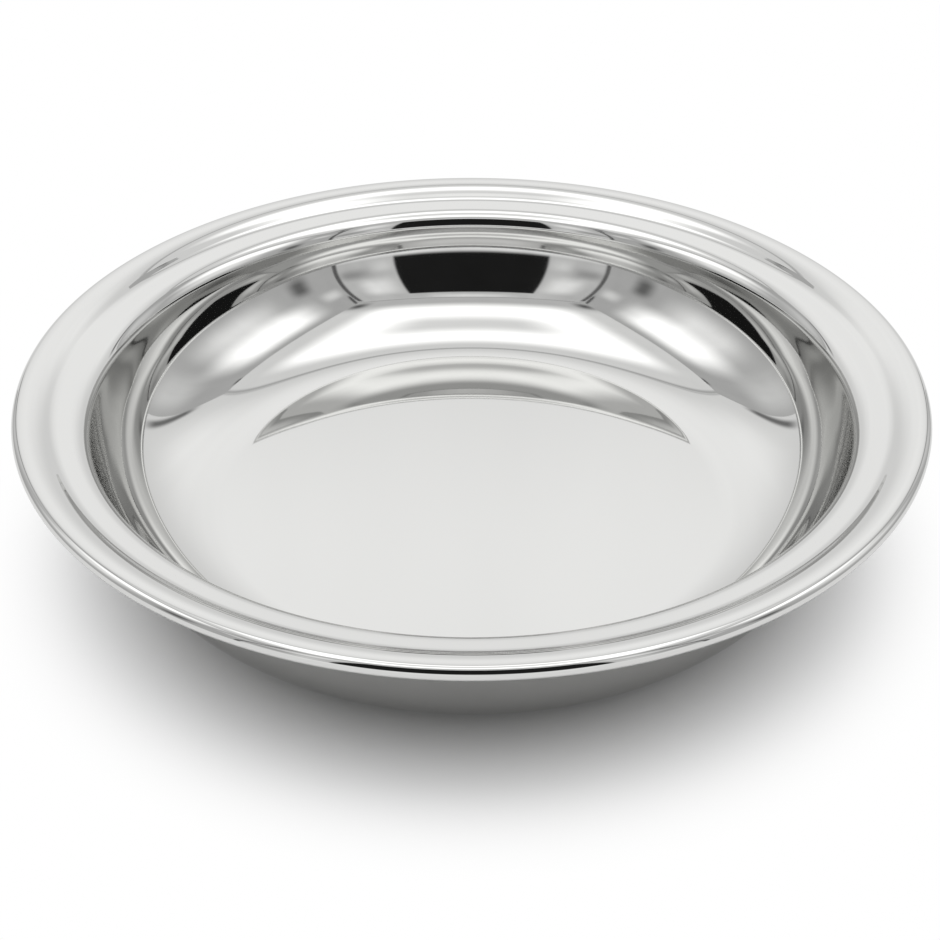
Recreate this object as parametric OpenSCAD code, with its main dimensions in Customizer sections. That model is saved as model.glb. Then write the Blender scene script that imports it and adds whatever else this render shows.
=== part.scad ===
// Deep thali plate of polished stainless steel with a double wall.
// The inner shell has a flat floor, a steep side, a rounded shoulder and a rim that rises gently
// outwards and then steps up to the edge. The outer shell lies against the underside of the rim and
// hangs clear of the inner one below it, with still air between. Both edges are curled into the bead.
// Lengths are millimetres and angles are degrees. +Z is up, and the plate rests on Z = 0.

/* [Plate] */
// Diameter over the bead
plate_d = 300; // [280:0.5:320]
// Thickness of each sheet
sheet = 0.7; // [0.5:0.05:0.75]

/* [Well] */
// Depth from the top of the shoulder down to the floor, inside
well_depth = 44.5; // [38:0.5:52]
// Steepness of both sides, from level
side_angle = 74.5; // [66:0.5:78]
// Inside radius between floor and side
corner_r = 42.5; // [20:0.5:46]
// Outside radius of the shoulder between side and rim
shoulder_r = 6.7; // [5:0.1:9]

/* [Outer shell] */
// Height of the well's floor over what the plate stands on
floor_lift = 8; // [5:0.25:12]
// Distance between the inner and the outer side, square to them, from upper face to upper face
side_gap = 3.75; // [2.5:0.25:4.75]
// Outside radius between base and side
base_corner_r = 36; // [20:0.5:44]
// Radius of the bend where the outer shell leaves the rim
hang_bend_r = 3; // [1.5:0.25:4]
// Clearance between the two sheets where they lie together
seat_gap = 0.1; // [0.05:0.05:0.2]

/* [Rim] */
// Width of the rim between the shoulder and the step
rim_w = 5.4; // [3:0.1:20]
// Slope at which the rim rises outwards, from level
rim_slope = 8; // [0:1:12]
// Steepness of the step, from level
step_angle = 45; // [36:1:50]
// Length of the step's straight part, along its slope
step_run = 0.3; // [0.1:0.1:3]
// Radius of the hollow at the foot of the step
step_foot_r = 5; // [2.5:0.25:6]
// Radius of the bend over the top of the step
step_top_r = 10; // [5:0.25:11]
// Width of the level stretch between the step and the bead
border_w = 0.3; // [0.2:0.1:5]

/* [Bead] */
// Outside radius of the bead
bead_r = 2.5; // [2.4:0.1:3.2]
// Angle at which the inner shell's edge stops under the border, clockwise from outwards
curl_end = -185; // [-185:1:-120]
// Angle at which the outer shell's edge stops inside the bead, clockwise from outwards
tuck_end = -80; // [-120:5:0]

/* [Hidden] */

// Segments round the plate, and degrees between two points of an arc in the section
around = 180;
arc_step = 5;

// Depth of the outer sheet under the upper face of the inner one, where they lie together
ply = sheet + seat_gap;

// Direction at an angle in the section, whose points are [radius, height]
function toward(angle) = [cos(angle), sin(angle)];

// Heights on the upper face, from the floor up: middle of the shoulder bend, outer end of the rim
// and border
shoulder_z = floor_lift + well_depth - shoulder_r;
rim_end_z = shoulder_z + shoulder_r * cos(rim_slope) + rim_w * tan(rim_slope);
step_rise = step_foot_r * (cos(rim_slope) - cos(step_angle)) + step_run * sin(step_angle)
    + step_top_r * (1 - cos(step_angle));
border_z = rim_end_z + step_rise;

// Middles of the inner shell's arcs, from the edge inwards
bead_mid = [plate_d / 2 - bead_r, border_z - bead_r];
top_mid = [bead_mid[0] - border_w, border_z - step_top_r];
foot_mid = [
    top_mid[0] - (step_top_r + step_foot_r) * sin(step_angle) - step_run * cos(step_angle),
    rim_end_z + step_foot_r * cos(rim_slope)];
shoulder_mid = [foot_mid[0] + (step_foot_r + shoulder_r) * sin(rim_slope) - rim_w, shoulder_z];

// Middle of the outer shell's bend: one ply under the rim, and side_gap away at the side
hang_down = shoulder_r - hang_bend_r - ply;
hang_out = side_gap - shoulder_r + hang_bend_r;
hang_mid = shoulder_mid
    + (hang_down * toward(side_angle) + hang_out * toward(rim_slope)) / sin(side_angle - rim_slope);

// Points of an arc in the section, from angle a0 to angle a1
function arc(mid, r, a0, a1) =
    let (steps = ceil(abs(a1 - a0) / arc_step))
    [for (i = [0:steps]) mid + r * toward(a0 + (a1 - a0) * i / steps)];

function reversed(points) = [for (i = [len(points) - 1:-1:0]) points[i]];

// Floor, corner, side and shoulder bend, a depth t under an upper face that has these sizes
function bowl_face(floor_z, corner, bend_mid, bend, t) =
    let (
        radii = corner + bend,
        run = (bend_mid[1] + bend - floor_z - radii * (1 - cos(side_angle))) / sin(side_angle),
        floor_r = bend_mid[0] - radii * sin(side_angle) - run * cos(side_angle))
    concat(
        [[0, floor_z - t]],
        arc([floor_r, floor_z + corner], corner + t, -90, side_angle - 90),
        arc(bend_mid, bend - t, side_angle + 90, rim_slope + 90));

// Step, border and curl of the edge, a depth t under the inner shell's upper face
function rim_face(t, curl) = concat(
    arc(foot_mid, step_foot_r + t, rim_slope - 90, step_angle - 90),
    arc(top_mid, step_top_r - t, step_angle + 90, 90),
    arc(bead_mid, bead_r - t, 90, curl));

function inner_face(t) =
    concat(bowl_face(floor_lift, corner_r, shoulder_mid, shoulder_r, t), rim_face(t, curl_end));

function outer_face(t) =
    concat(bowl_face(sheet, base_corner_r - sheet, hang_mid, hang_bend_r, t), rim_face(ply + t, tuck_end));

// The shell that holds the food: its edge makes the outside of the bead
module inner_shell() {
    color("gainsboro") rotate_extrude($fn = around)
        polygon(concat(inner_face(0), reversed(inner_face(sheet))));
}

// The shell that the plate stands on: its edge is held inside the bead
module outer_shell() {
    color("silver") rotate_extrude($fn = around)
        polygon(concat(outer_face(0), reversed(outer_face(sheet))));
}

inner_shell();
outer_shell();
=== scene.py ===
# Deep double-walled thali plate in polished steel, standing in a small white studio room
import bpy, math
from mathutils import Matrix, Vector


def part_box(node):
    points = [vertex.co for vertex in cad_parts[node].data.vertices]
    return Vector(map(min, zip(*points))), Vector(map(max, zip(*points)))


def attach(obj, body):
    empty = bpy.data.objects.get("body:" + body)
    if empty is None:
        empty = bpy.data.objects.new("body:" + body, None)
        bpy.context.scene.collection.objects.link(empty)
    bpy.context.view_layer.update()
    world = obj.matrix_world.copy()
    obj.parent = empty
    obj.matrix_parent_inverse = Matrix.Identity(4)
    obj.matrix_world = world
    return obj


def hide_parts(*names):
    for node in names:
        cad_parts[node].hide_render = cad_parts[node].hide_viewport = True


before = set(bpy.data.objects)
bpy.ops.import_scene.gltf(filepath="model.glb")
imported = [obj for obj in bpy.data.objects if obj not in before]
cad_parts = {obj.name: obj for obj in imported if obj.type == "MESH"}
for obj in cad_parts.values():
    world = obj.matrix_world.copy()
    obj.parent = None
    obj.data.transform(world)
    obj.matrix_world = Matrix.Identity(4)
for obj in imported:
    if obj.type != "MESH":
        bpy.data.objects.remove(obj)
print("frame loaded:", ", ".join(sorted(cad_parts)))

mm = 0.001
onAxis = 0.0001 * mm  # A section point nearer to the axis than this lies on it
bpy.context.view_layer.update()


# Small helpers for section curves and lathed sheets

def toward(degrees):
    return (math.cos(math.radians(degrees)), math.sin(math.radians(degrees)))


def arcPoints(mid, radius, start, stop, step):
    count = max(2, math.ceil(abs(stop - start) / step))
    turns = [toward(start + (stop - start) * i / count) for i in range(count + 1)]
    return [(mid[0] + radius * x, mid[1] + radius * z) for x, z in turns]


def betweenPoints(first, last, parts, swing=0.0):
    # Points that part a stretch, without its two ends; its slope turns by swing degrees on the way
    dx, dz = last[0] - first[0], last[1] - first[1]
    sag = math.tan(math.radians(swing) / 4) / 2
    points = []
    for i in range(1, parts):
        t = i / parts
        bow = 4 * sag * t * (1 - t)
        points.append((first[0] + dx * t + dz * bow, first[1] + dz * t - dx * bow))
    return points


def latheMesh(name, section, segments):
    # Turns a closed section that starts and ends on the axis; the two axis points become single vertices
    verts, faces, rows = [], [], []
    for radius, height in section:
        if radius < onAxis:
            rows.append([len(verts)])
            verts.append((0.0, 0.0, height))
            continue
        rows.append(list(range(len(verts), len(verts) + segments)))
        for i in range(segments):
            turn = 2 * math.pi * i / segments
            verts.append((radius * math.cos(turn), radius * math.sin(turn), height))
    for lower, upper in zip(rows, rows[1:]):
        for i in range(segments):
            j = (i + 1) % segments
            if len(lower) == 1:
                faces.append((lower[0], upper[j], upper[i]))
            elif len(upper) == 1:
                faces.append((lower[i], lower[j], upper[0]))
            else:
                faces.append((lower[i], lower[j], upper[j], upper[i]))
    mesh = bpy.data.meshes.new(name)
    mesh.from_pydata(verts, [], faces)
    mesh.polygons.foreach_set("use_smooth", [True] * len(mesh.polygons))
    mesh.update()
    return mesh


# The plate's section, in millimetres and degrees. The inner side bows a little and the rim's step is
# drawn softer than in the solids, both by less than 1 mm.
plate = {
    "radius": min(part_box("inner_shell")[1][:2]) / mm,
    "sheet": 0.7,
    "seatGap": 0.1,  # Between the two sheets where they lie together
    "floorLift": 8.0,
    "wellDepth": 44.5,
    "innerSide": (70.0, 82.0),  # Slope at the foot and under the shoulder, from level
    "outerSide": (74.5, 74.5),
    "cornerRadius": 40.5,
    "shoulderRadius": 6.7,
    "sideGap": 3.75,  # Between the upper faces of the two sides
    "baseCornerRadius": 36.0,
    "hangBendRadius": 3.0,
    "rimWidth": 4.02,
    "rimSlope": 8.0,
    "stepAngle": 39.0,
    "stepRun": 0.9,
    "stepFootRadius": 6.0,
    "stepTopRadius": 12.5,
    "borderWidth": 0.3,
    "beadRadius": 2.5,
    "curlEnd": -185.0,  # Where the inner sheet's edge stops, clockwise from outwards
    "tuckEnd": -80.0,  # Where the outer sheet's edge stops inside it
    "arcStep": 1.5,  # Degrees between two points of an arc
    "beadStep": 4.0,
    "floorRings": 9,
    "sideRings": 8,
    "rimRings": 4,
    "segments": 480,
}


def arcMiddles(p):
    # Heights go from the floor up, and radii from the edge inwards
    slopeCos, slopeSin = toward(p["rimSlope"])
    stepCos, stepSin = toward(p["stepAngle"])
    foot, top, shoulder = p["stepFootRadius"], p["stepTopRadius"], p["shoulderRadius"]
    shoulderZ = p["floorLift"] + p["wellDepth"] - shoulder
    rimEndZ = shoulderZ + shoulder * slopeCos + p["rimWidth"] * slopeSin / slopeCos
    borderZ = rimEndZ + foot * (slopeCos - stepCos) + p["stepRun"] * stepSin + top * (1 - stepCos)
    bead = (p["radius"] - p["beadRadius"], borderZ - p["beadRadius"])
    topMid = (bead[0] - p["borderWidth"], borderZ - top)
    footMid = (topMid[0] - (top + foot) * stepSin - p["stepRun"] * stepCos, rimEndZ + foot * slopeCos)
    shoulderMid = (footMid[0] + (foot + shoulder) * slopeSin - p["rimWidth"], shoulderZ)
    return {"bead": bead, "top": topMid, "foot": footMid, "shoulder": shoulderMid}


def bowlFace(p, sideSlopes, floorZ, corner, bendMid, bend, depth):
    # The side's slope goes from the first to the second of sideSlopes on its way up
    low, high = sideSlopes
    lowCos, lowSin = toward(low)
    highCos, highSin = toward(high)
    meanCos, meanSin = toward((low + high) / 2)
    rise = bendMid[1] + bend * highCos - floorZ - corner * (1 - lowCos)
    floorRadius = bendMid[0] - bend * highSin - rise * meanCos / meanSin - corner * lowSin
    centre, edge = (0, floorZ - depth), (floorRadius, floorZ - depth)
    cornerArc = arcPoints((floorRadius, floorZ + corner), corner + depth, -90, low - 90, p["arcStep"])
    bendArc = arcPoints(bendMid, bend - depth, high + 90, p["rimSlope"] + 90, 2 * p["arcStep"])
    return ([centre] + betweenPoints(centre, edge, p["floorRings"]) + cornerArc
            + betweenPoints(cornerArc[-1], bendArc[0], p["sideRings"], high - low) + bendArc)


def rimFace(p, depth, curl):
    # Step, border and curl of the edge
    mids = arcMiddles(p)
    footTurn = (p["rimSlope"] - 90, p["stepAngle"] - 90)
    footArc = arcPoints(mids["foot"], p["stepFootRadius"] + depth, *footTurn, p["arcStep"])
    topArc = arcPoints(mids["top"], p["stepTopRadius"] - depth, p["stepAngle"] + 90, 90, p["arcStep"])
    beadArc = arcPoints(mids["bead"], p["beadRadius"] - depth, 90, curl, p["beadStep"])
    return footArc + topArc + beadArc


def wholeFace(p, bowl, rim):
    return bowl + betweenPoints(bowl[-1], rim[0], p["rimRings"]) + rim


def innerFace(p, depth):
    shoulder = arcMiddles(p)["shoulder"]
    bend = p["shoulderRadius"]
    bowl = bowlFace(p, p["innerSide"], p["floorLift"], p["cornerRadius"], shoulder, bend, depth)
    return wholeFace(p, bowl, rimFace(p, depth, p["curlEnd"]))


def outerFace(p, depth):
    # The outer sheet leaves the rim one ply under it and hangs clear of the inner side
    ply = p["sheet"] + p["seatGap"]
    down = p["shoulderRadius"] - p["hangBendRadius"] - ply
    out = p["sideGap"] - p["shoulderRadius"] + p["hangBendRadius"]
    side, slope = toward(p["outerSide"][1]), toward(p["rimSlope"])
    spread = toward(p["outerSide"][1] - p["rimSlope"])[1]
    shoulder = arcMiddles(p)["shoulder"]
    hangMid = tuple(s + (down * a + out * b) / spread for s, a, b in zip(shoulder, side, slope))
    corner = p["baseCornerRadius"] - p["sheet"]
    bowl = bowlFace(p, p["outerSide"], p["sheet"], corner, hangMid, p["hangBendRadius"], depth)
    return wholeFace(p, bowl, rimFace(p, ply + depth, p["tuckEnd"]))


def makeShell(name, node, face, material):
    section = face(plate, plate["sheet"]) + list(reversed(face(plate, 0)))
    section = [(r * mm, z * mm) for r, z in section]
    shell = bpy.data.objects.new(name, latheMesh(name, section, plate["segments"]))
    bpy.context.scene.collection.objects.link(shell)
    shell.data.materials.append(material)
    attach(shell, "root")
    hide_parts(node)
    return shell


# Node helpers

def newSockets(group, kind, side, *names):
    for name in names:
        group.interface.new_socket(name, in_out=side, socket_type=kind)


def mathNode(tree, operation, *values):
    # Each value is a number or the socket that feeds it
    node = tree.nodes.new("ShaderNodeMath")
    node.operation = operation
    for slot, value in zip(node.inputs, values):
        if isinstance(value, (int, float)):
            slot.default_value = value
        else:
            tree.links.new(value, slot)
    return node.outputs[0]


def noiseNode(tree, vector, scale, detail):
    noise = tree.nodes.new("ShaderNodeTexNoise")
    noise.inputs["Detail"].default_value = detail
    tree.links.new(vector, noise.inputs["Vector"])
    tree.links.new(scale, noise.inputs["Scale"])
    return noise.outputs["Fac"]


# Finish: what the press, the polishing wheel and use leave on the sheet

polish = {
    "ringDetail": 3.0,
    "waveDetail": 1.0,
    "hazeDetail": 4.0,
    "ringShare": 0.35,  # How much the rings add to the haze
    "hazeFrom": 0.45,  # Haze at which the roughness leaves its low value
    "hazeTo": 0.9,  # Haze at which it reaches its high value
}


def makePolishGroup():
    group = bpy.data.node_groups.new("polishMarks", "ShaderNodeTree")
    newSockets(group, "NodeSocketVector", "INPUT", "Vector")
    newSockets(group, "NodeSocketFloat", "INPUT", "Rings per metre", "Ring height", "Waves per metre",
               "Haze per metre", "Roughness low", "Roughness high")
    newSockets(group, "NodeSocketFloat", "OUTPUT", "Roughness", "Height")
    inside = group.nodes.new("NodeGroupInput").outputs
    outside = group.nodes.new("NodeGroupOutput").inputs
    split = group.nodes.new("ShaderNodeSeparateXYZ")
    group.links.new(inside["Vector"], split.inputs[0])
    # Rings follow the radius and the height only, so that they run round the plate
    squares = mathNode(group, "MULTIPLY", split.outputs["X"], split.outputs["X"])
    squares = mathNode(group, "MULTIPLY_ADD", split.outputs["Y"], split.outputs["Y"], squares)
    alongSection = group.nodes.new("ShaderNodeCombineXYZ")
    group.links.new(mathNode(group, "SQRT", squares), alongSection.inputs["X"])
    group.links.new(split.outputs["Z"], alongSection.inputs["Y"])
    rings = noiseNode(group, alongSection.outputs[0], inside["Rings per metre"], polish["ringDetail"])
    waves = noiseNode(group, inside["Vector"], inside["Waves per metre"], polish["waveDetail"])
    haze = noiseNode(group, inside["Vector"], inside["Haze per metre"], polish["hazeDetail"])
    mixed = mathNode(group, "MULTIPLY_ADD", rings, polish["ringShare"], haze)
    spread = group.nodes.new("ShaderNodeMapRange")
    spread.inputs["From Min"].default_value = polish["hazeFrom"]
    spread.inputs["From Max"].default_value = polish["hazeTo"]
    group.links.new(mixed, spread.inputs["Value"])
    group.links.new(inside["Roughness low"], spread.inputs["To Min"])
    group.links.new(inside["Roughness high"], spread.inputs["To Max"])
    group.links.new(spread.outputs[0], outside["Roughness"])
    height = mathNode(group, "MULTIPLY_ADD", rings, inside["Ring height"], waves)
    group.links.new(height, outside["Height"])
    return group


polishMarks = makePolishGroup()

innerFinish = {
    "colour": (0.64, 0.64, 0.63, 1),
    "edgeTint": (0.92, 0.92, 0.92, 1),
    "bumpDistance": 0.000012,
    "marks": {
        "Rings per metre": 900.0,
        "Ring height": 0.012,
        "Waves per metre": 16.0,
        "Haze per metre": 9.0,
        "Roughness low": 0.015,
        "Roughness high": 0.045,
    },
}

outerFinish = {
    "colour": (0.58, 0.58, 0.57, 1),
    "edgeTint": (0.8, 0.8, 0.8, 1),
    "bumpDistance": 0.00002,
    "marks": {
        "Rings per metre": 700.0,
        "Ring height": 0.02,
        "Waves per metre": 20.0,
        "Haze per metre": 14.0,
        "Roughness low": 0.05,
        "Roughness high": 0.12,
    },
}


def makeSteel(name, finish):
    material = bpy.data.materials.new(name)
    material.use_nodes = True
    tree = material.node_tree
    shader = tree.nodes["Principled BSDF"]
    shader.inputs["Base Color"].default_value = finish["colour"]
    shader.inputs["Metallic"].default_value = 1.0
    shader.inputs["Specular Tint"].default_value = finish["edgeTint"]
    place = tree.nodes.new("ShaderNodeTexCoord")
    marks = tree.nodes.new("ShaderNodeGroup")
    marks.node_tree = polishMarks
    for socketName, value in finish["marks"].items():
        marks.inputs[socketName].default_value = value
    tree.links.new(place.outputs["Object"], marks.inputs["Vector"])
    tree.links.new(marks.outputs["Roughness"], shader.inputs["Roughness"])
    bump = tree.nodes.new("ShaderNodeBump")
    bump.inputs["Distance"].default_value = finish["bumpDistance"]
    tree.links.new(marks.outputs["Height"], bump.inputs["Height"])
    tree.links.new(bump.outputs["Normal"], shader.inputs["Normal"])
    return material


mirrorSteel = makeSteel("mirrorSteel", innerFinish)
innerShell = makeShell("innerShell", "inner_shell", innerFace, mirrorSteel)
outerSteel = makeSteel("outerSteel", outerFinish)
outerShell = makeShell("outerShell", "outer_shell", outerFace, outerSteel)
print("shells turned:", len(innerShell.data.polygons) + len(outerShell.data.polygons), "faces")


# Studio room: a tent of white cloth whose walls glow in soft patches. The metal and the floor see it.

def makePatchGroup():
    # One soft-edged rectangle laid over the level under it; Lean slants its sides
    group = bpy.data.node_groups.new("softPatch", "ShaderNodeTree")
    newSockets(group, "NodeSocketFloat", "INPUT", "Across", "Up", "Under", "Mid across", "Mid up",
               "Half across", "Half up", "Soft across", "Soft up", "Lean", "Glow")
    newSockets(group, "NodeSocketFloat", "OUTPUT", "Level")
    inside = group.nodes.new("NodeGroupInput").outputs
    outside = group.nodes.new("NodeGroupOutput").inputs
    rise = mathNode(group, "SUBTRACT", inside["Up"], inside["Mid up"])
    drift = mathNode(group, "MULTIPLY_ADD", rise, inside["Lean"], inside["Mid across"])
    aside = mathNode(group, "SUBTRACT", inside["Across"], drift)
    masks = []
    for paintedShadowFade, key in ((aside, "across"), (rise, "up")):
        edge = group.nodes.new("ShaderNodeMapRange")
        edge.interpolation_type = "SMOOTHSTEP"
        half, soft = inside["Half " + key], inside["Soft " + key]
        group.links.new(mathNode(group, "ABSOLUTE", paintedShadowFade), edge.inputs["Value"])
        group.links.new(mathNode(group, "MULTIPLY_ADD", soft, -0.5, half), edge.inputs["From Min"])
        group.links.new(mathNode(group, "MULTIPLY_ADD", soft, 0.5, half), edge.inputs["From Max"])
        edge.inputs["To Min"].default_value = 1.0
        edge.inputs["To Max"].default_value = 0.0
        masks.append(edge.outputs[0])
    change = mathNode(group, "SUBTRACT", inside["Glow"], inside["Under"])
    level = mathNode(group, "MULTIPLY_ADD", mathNode(group, "MULTIPLY", *masks), change, inside["Under"])
    group.links.new(level, outside["Level"])
    return group


cloth = {
    "foldsPerMetre": 9.0,
    "stretch": (1.0, 1.0, 0.3),  # Folds are longer upwards
    "detail": 2.0,
}


def makeFoldGroup():
    # Upright folds of the cloth, as a factor about 1
    group = bpy.data.node_groups.new("clothFolds", "ShaderNodeTree")
    newSockets(group, "NodeSocketVector", "INPUT", "Vector")
    newSockets(group, "NodeSocketFloat", "INPUT", "Folds per metre", "Depth")
    newSockets(group, "NodeSocketFloat", "OUTPUT", "Factor")
    inside = group.nodes.new("NodeGroupInput").outputs
    outside = group.nodes.new("NodeGroupOutput").inputs
    stretch = group.nodes.new("ShaderNodeVectorMath")
    stretch.operation = "MULTIPLY"
    stretch.inputs[1].default_value = cloth["stretch"]
    group.links.new(inside["Vector"], stretch.inputs[0])
    folds = noiseNode(group, stretch.outputs[0], inside["Folds per metre"], cloth["detail"])
    swing = mathNode(group, "MULTIPLY_ADD", folds, 2.0, -1.0)
    group.links.new(mathNode(group, "MULTIPLY_ADD", swing, inside["Depth"], 1.0), outside["Factor"])
    return group


softPatch = makePatchGroup()
clothFolds = makeFoldGroup()


def patch(mid, half, soft, glow, lean=0.0):
    return {"Mid across": mid[0], "Mid up": mid[1], "Half across": half[0], "Half up": half[1],
            "Soft across": soft[0], "Soft up": soft[1], "Glow": glow, "Lean": lean}


def patchPair(mid, half, soft, glow, lean=0.0):
    # The same patch on the right and, mirrored, on the left
    return [patch(mid, half, soft, glow, lean), patch((-mid[0], mid[1]), half, soft, glow, -lean)]


# Distances of the walls from the plate's axis and of the ceiling from the floor, in metres.
# Each wall has a base level and patches over it, by their middle, half size, softness and level.
room = {
    "back": 0.64,
    "front": 0.587,
    "side": 0.647,
    "top": 1.0,
    "brightness": 1.32,  # Strength of a panel at level 1
    "bounces": 24,
}

ceiling = {
    "axes": ("X", "Y"),
    "base": 0.70,
    "folds": 0.04,
    "patches": [
        patch((0, -0.52), (0.70, 0.13), (0.10, 0.16), 0.50),
        *patchPair((0.59, -0.48), (0.05, 0.05), (0.10, 0.10), 0.10),
        patch((0, 0.628), (0.70, 0.015), (0.10, 0.03), 0.40),
        patch((0, -0.582), (0.70, 0.006), (0.10, 0.008), 0.30),
        patch((0, 0.03), (0.43, 0.385), (0.22, 0.22), 1.5),
        patch((0, 0.03), (0.22, 0.15), (0.22, 0.24), 0.76),
    ],
}

backWall = {
    "axes": ("X", "Z"),
    "base": 0.70,
    "folds": 0.03,
    "patches": [
        patch((0, 0.56), (0.42, 0.22), (0.36, 0.40), 0.92),
        patch((0, 0.985), (0.70, 0.012), (0.10, 0.03), 0.48),
        *patchPair((0.60, 0.46), (0.028, 0.24), (0.045, 0.20), 0.16, 0.14),
    ],
}

frontWall = {
    "axes": ("X", "Z"),
    "base": 0.52,
    "folds": 0.16,
    "patches": [
        *patchPair((0.42, 0.60), (0.08, 0.16), (0.12, 0.20), 0.82),
        *patchPair((0.52, 0.30), (0.08, 0.07), (0.12, 0.14), 0.32),
        *patchPair((0.36, 0.22), (0.04, 0.06), (0.08, 0.10), 0.64),
        patch((0, 0.055), (0.60, 0.06), (0.10, 0.04), 0.80),
        patch((0, 0.95), (0.16, 0.06), (0.26, 0.08), 0.76),
        *patchPair((0.624, 0.50), (0.016, 0.46), (0.02, 0.08), 0.10),
        patch((0, 0.474), (0.296, 0.350), (0.016, 0.035), 0.012),
    ],
}

sideWall = {
    "axes": ("Y", "Z"),
    "base": 0.42,
    "folds": 0.10,
    "patches": [
        patch((0.47, 0.34), (0.12, 0.20), (0.20, 0.30), 0.60),
        patch((0.02, 0.42), (0.17, 0.20), (0.26, 0.26), 0.86),
        patch((0.005, 0.69), (0.26, 0.17), (0.30, 0.24), 1.4),
        patch((-0.355, 0.24), (0.045, 0.12), (0.08, 0.16), 0.13),
        patch((-0.49, 0.58), (0.06, 0.08), (0.10, 0.14), 0.68),
        patch((-0.57, 0.87), (0.014, 0.13), (0.02, 0.10), 0.08, 0.10),
        patch((0.51, 0.985), (0.03, 0.02), (0.04, 0.04), 0.10),
    ],
}


def glowMaterial(name, wall):
    material = bpy.data.materials.new(name)
    material.use_nodes = True
    tree = material.node_tree
    tree.nodes.clear()
    place = tree.nodes.new("ShaderNodeTexCoord").outputs["Object"]
    split = tree.nodes.new("ShaderNodeSeparateXYZ")
    tree.links.new(place, split.inputs[0])
    across, up = (split.outputs[axis] for axis in wall["axes"])
    level = wall["base"]
    for spot in wall["patches"]:
        node = tree.nodes.new("ShaderNodeGroup")
        node.node_tree = softPatch
        for socketName, value in spot.items():
            node.inputs[socketName].default_value = value
        tree.links.new(across, node.inputs["Across"])
        tree.links.new(up, node.inputs["Up"])
        if isinstance(level, float):
            node.inputs["Under"].default_value = level
        else:
            tree.links.new(level, node.inputs["Under"])
        level = node.outputs["Level"]
    folds = tree.nodes.new("ShaderNodeGroup")
    folds.node_tree = clothFolds
    folds.inputs["Folds per metre"].default_value = cloth["foldsPerMetre"]
    folds.inputs["Depth"].default_value = wall["folds"]
    tree.links.new(place, folds.inputs["Vector"])
    folded = mathNode(tree, "MULTIPLY", level, folds.outputs["Factor"])
    light = tree.nodes.new("ShaderNodeEmission")
    tree.links.new(mathNode(tree, "MULTIPLY", folded, room["brightness"]), light.inputs["Strength"])
    # The camera looks through the walls, so that they hide nothing from any side
    path = tree.nodes.new("ShaderNodeLightPath")
    either = tree.nodes.new("ShaderNodeMixShader")
    out = tree.nodes.new("ShaderNodeOutputMaterial")
    tree.links.new(path.outputs["Is Camera Ray"], either.inputs["Fac"])
    tree.links.new(light.outputs[0], either.inputs[1])
    tree.links.new(tree.nodes.new("ShaderNodeBsdfTransparent").outputs[0], either.inputs[2])
    tree.links.new(either.outputs[0], out.inputs["Surface"])
    return material


def makeStageFace(name, corners, material):
    mesh = bpy.data.meshes.new(name)
    mesh.from_pydata(corners, [], [(0, 1, 2, 3)])
    mesh.materials.append(material)
    face = bpy.data.objects.new(name, mesh)
    bpy.context.scene.collection.objects.link(face)
    return face


def wallCorners(start, end, top):
    return [(*start, 0.0), (*end, 0.0), (*end, top), (*start, top)]


side, back, front, top = room["side"], room["back"], -room["front"], room["top"]
ceilingCorners = [(-side, front, top), (side, front, top), (side, back, top), (-side, back, top)]
makeStageFace("ceiling", ceilingCorners, glowMaterial("ceilingGlow", ceiling))
backGlow = glowMaterial("backGlow", backWall)
makeStageFace("backWall", wallCorners((-side, back), (side, back), top), backGlow)
frontGlow = glowMaterial("frontGlow", frontWall)
makeStageFace("frontWall", wallCorners((-side, front), (side, front), top), frontGlow)
sideGlow = glowMaterial("sideGlow", sideWall)
for name, x in (("leftWall", -side), ("rightWall", side)):
    makeStageFace(name, wallCorners((x, front), (x, back), top), sideGlow)

# Diffuse light from above that the metal doesn't mirror
topLamp = {"size": (0.9, 0.8), "height": 0.97, "watts": 4.8}


def makeTopLamp():
    data = bpy.data.lights.new("topLamp", "AREA")
    data.shape = "RECTANGLE"
    data.size, data.size_y = topLamp["size"]
    data.energy = topLamp["watts"]
    lamp = bpy.data.objects.new("topLamp", data)
    lamp.location = (0, 0, topLamp["height"])
    lamp.visible_camera = False
    lamp.visible_glossy = False
    bpy.context.scene.collection.objects.link(lamp)


makeTopLamp()
print("studio room set")

# Pale floor that runs to plain white away from the plate. Its white glow fades in over a ring round the
# plate, so the outer fade of the plate's shadow is painted, laid over the real diffuse shadow near the
# plate
ground = {
    "reach": 6.0,
    "drop": 0.1 * mm,  # Under the plate's rest face
    "colour": (0.8, 0.8, 0.8, 1),
    "roughness": 0.9,
    # Painted shadow: between these two distances from the axis the white glow fades in and draws the
    # edge of the plate's shadow
    "paintedShadowFadeFrom": 0.70 * plate["radius"] * mm,
    "paintedShadowFadeTo": 1.15 * plate["radius"] * mm,
    "glossyShift": -0.2,  # In reflections the white starts further out
}


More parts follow.
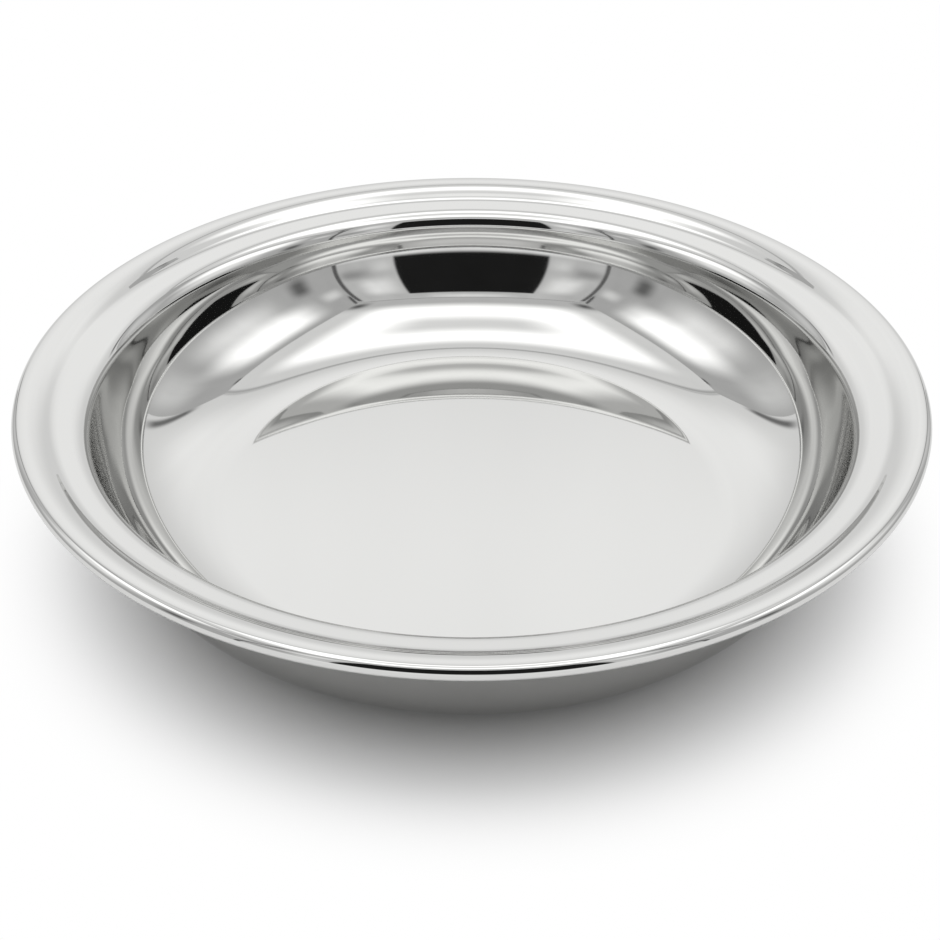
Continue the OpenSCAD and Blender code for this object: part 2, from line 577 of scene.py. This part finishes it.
def makeFloor():
    material = bpy.data.materials.new("paleFloor")
    material.use_nodes = True
    tree = material.node_tree
    shader = tree.nodes["Principled BSDF"]
    shader.inputs["Base Color"].default_value = ground["colour"]
    shader.inputs["Roughness"].default_value = ground["roughness"]
    place = tree.nodes.new("ShaderNodeTexCoord")
    distance = tree.nodes.new("ShaderNodeVectorMath")
    distance.operation = "LENGTH"
    tree.links.new(place.outputs["Object"], distance.inputs[0])
    path = tree.nodes.new("ShaderNodeLightPath")
    seen = mathNode(tree, "MAXIMUM", path.outputs["Is Camera Ray"], path.outputs["Is Glossy Ray"])
    shrink = mathNode(tree, "MULTIPLY_ADD", path.outputs["Is Glossy Ray"], ground["glossyShift"], 1.0)
    # Painted shadow fade: the white glow rises with the distance from the axis, and the camera and the
    # metal's reflections both see it
    paintedShadowFade = tree.nodes.new("ShaderNodeMapRange")
    paintedShadowFade.interpolation_type = "SMOOTHSTEP"
    paintedShadowFade.inputs["From Min"].default_value = ground["paintedShadowFadeFrom"]
    paintedShadowFade.inputs["From Max"].default_value = ground["paintedShadowFadeTo"]
    tree.links.new(mathNode(tree, "MULTIPLY", distance.outputs["Value"], shrink), paintedShadowFade.inputs["Value"])
    white = tree.nodes.new("ShaderNodeEmission")
    either = tree.nodes.new("ShaderNodeMixShader")
    tree.links.new(mathNode(tree, "MULTIPLY", paintedShadowFade.outputs[0], seen), either.inputs["Fac"])
    tree.links.new(shader.outputs[0], either.inputs[1])
    tree.links.new(white.outputs[0], either.inputs[2])
    tree.links.new(either.outputs[0], tree.nodes["Material Output"].inputs["Surface"])
    r, z = ground["reach"], -ground["drop"]
    makeStageFace("floor", [(-r, -r, z), (r, -r, z), (r, r, z), (-r, r, z)], material)


makeFloor()

world = bpy.data.worlds.new("studioWorld")
bpy.context.scene.world = world
world.use_nodes = True
world.node_tree.nodes["Background"].inputs["Color"].default_value = (1, 1, 1, 1)
world.node_tree.nodes["Background"].inputs["Strength"].default_value = 1.0

# Camera, placed from the picture: distance and height over the shoulder, in plate radii
shot = {
    "distance": 3.9,
    "elevation": 32.0,
    "pixelsPerRadius": 448.5,
    "shoulderRow": 384.15,
    "shoulderColumn": 471.6,
    "frame": 940,
    "sensor": 36.0,
    "clipStart": 0.01,
}


def makeCamera():
    radius = plate["radius"] * mm
    focal = shot["pixelsPerRadius"] * shot["distance"]
    camera = bpy.data.objects.new("camera", bpy.data.cameras.new("camera"))
    bpy.context.scene.collection.objects.link(camera)
    camera.data.sensor_width = shot["sensor"]
    camera.data.lens = focal * shot["sensor"] / shot["frame"]
    reach = shot["distance"] * radius
    level, rise = toward(shot["elevation"])
    aside = (shot["frame"] / 2 - shot["shoulderColumn"]) / shot["pixelsPerRadius"] * radius
    shoulderTop = (plate["floorLift"] + plate["wellDepth"]) * mm
    camera.location = (aside, -reach * level, reach * rise + shoulderTop)
    tilt = math.atan((shot["frame"] / 2 - shot["shoulderRow"]) / focal)
    camera.rotation_euler = (math.pi / 2 - math.radians(shot["elevation"]) - tilt, 0, 0)
    camera.data.clip_start = shot["clipStart"]
    bpy.context.scene.camera = camera


makeCamera()
bpy.context.scene.view_settings.view_transform = "Standard"
# A ray may run round the bowl many times before it leaves
bpy.context.scene.cycles.max_bounces = room["bounces"]
bpy.context.scene.cycles.glossy_bounces = room["bounces"]
print("camera set")
